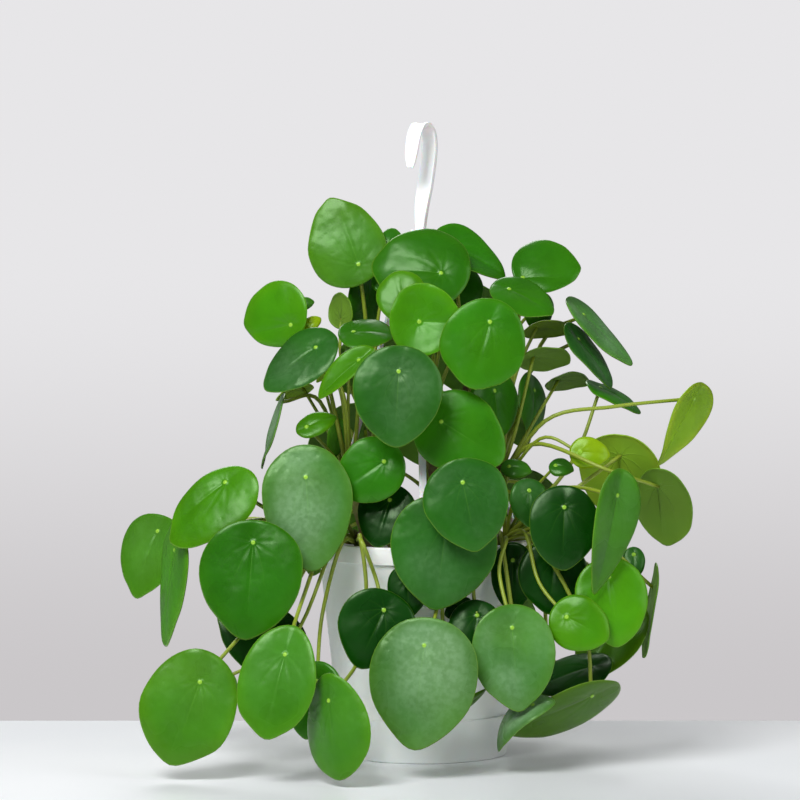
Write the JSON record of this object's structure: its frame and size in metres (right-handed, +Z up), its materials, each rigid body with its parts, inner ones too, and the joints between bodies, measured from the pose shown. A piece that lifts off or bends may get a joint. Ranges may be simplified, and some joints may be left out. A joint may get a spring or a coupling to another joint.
{
  "type": "potted pilea plant",
  "caption": "Round-leaved houseplant of leafy stems in a conical plastic hanging pot with drip saucer, rim straps and an open hook, standing on its foot.",
  "frame": {"origin": "middle of the saucer's flat underside, on the surface that the pot stands on", "axes": "+Z up; the view in the picture looks along +Y, with +X to the right"},
  "size_m": [0.4133, 0.3041, 0.4422],
  "materials": {
    "pot": "satin white",
    "saucer": "satin white",
    "soil": "rough, crumbly",
    "hook": "smooth, slightly translucent white",
    "strap": "smooth, slightly translucent white",
    "plant": "smooth, waxy sheen"
  },
  "bodies": {
    "root": {"saucer": "saucer", "pot": "pot", "soil": "soil", "hanger_hook": "hook", "hanger_strap_front": "strap", "hanger_strap_back_right": "strap", "hanger_strap_back_left": "strap", "leafy_stem_top_left": "plant", "leafy_stem_top_centre": "plant", "leafy_stem_top_right": "plant", "leafy_stem_left": "plant", "leafy_stem_right": "plant", "leafy_stem_low_right": "plant", "leafy_stem_centre": "plant", "leafy_stem_low_left": "plant", "leafy_stem_front_low": "plant", "leafy_stem_back_low": "plant", "leafy_stem_back_right": "plant", "leafy_stem_back_left": "plant", "leafy_stem_back_top": "plant"}
  },
  "joints": []
}
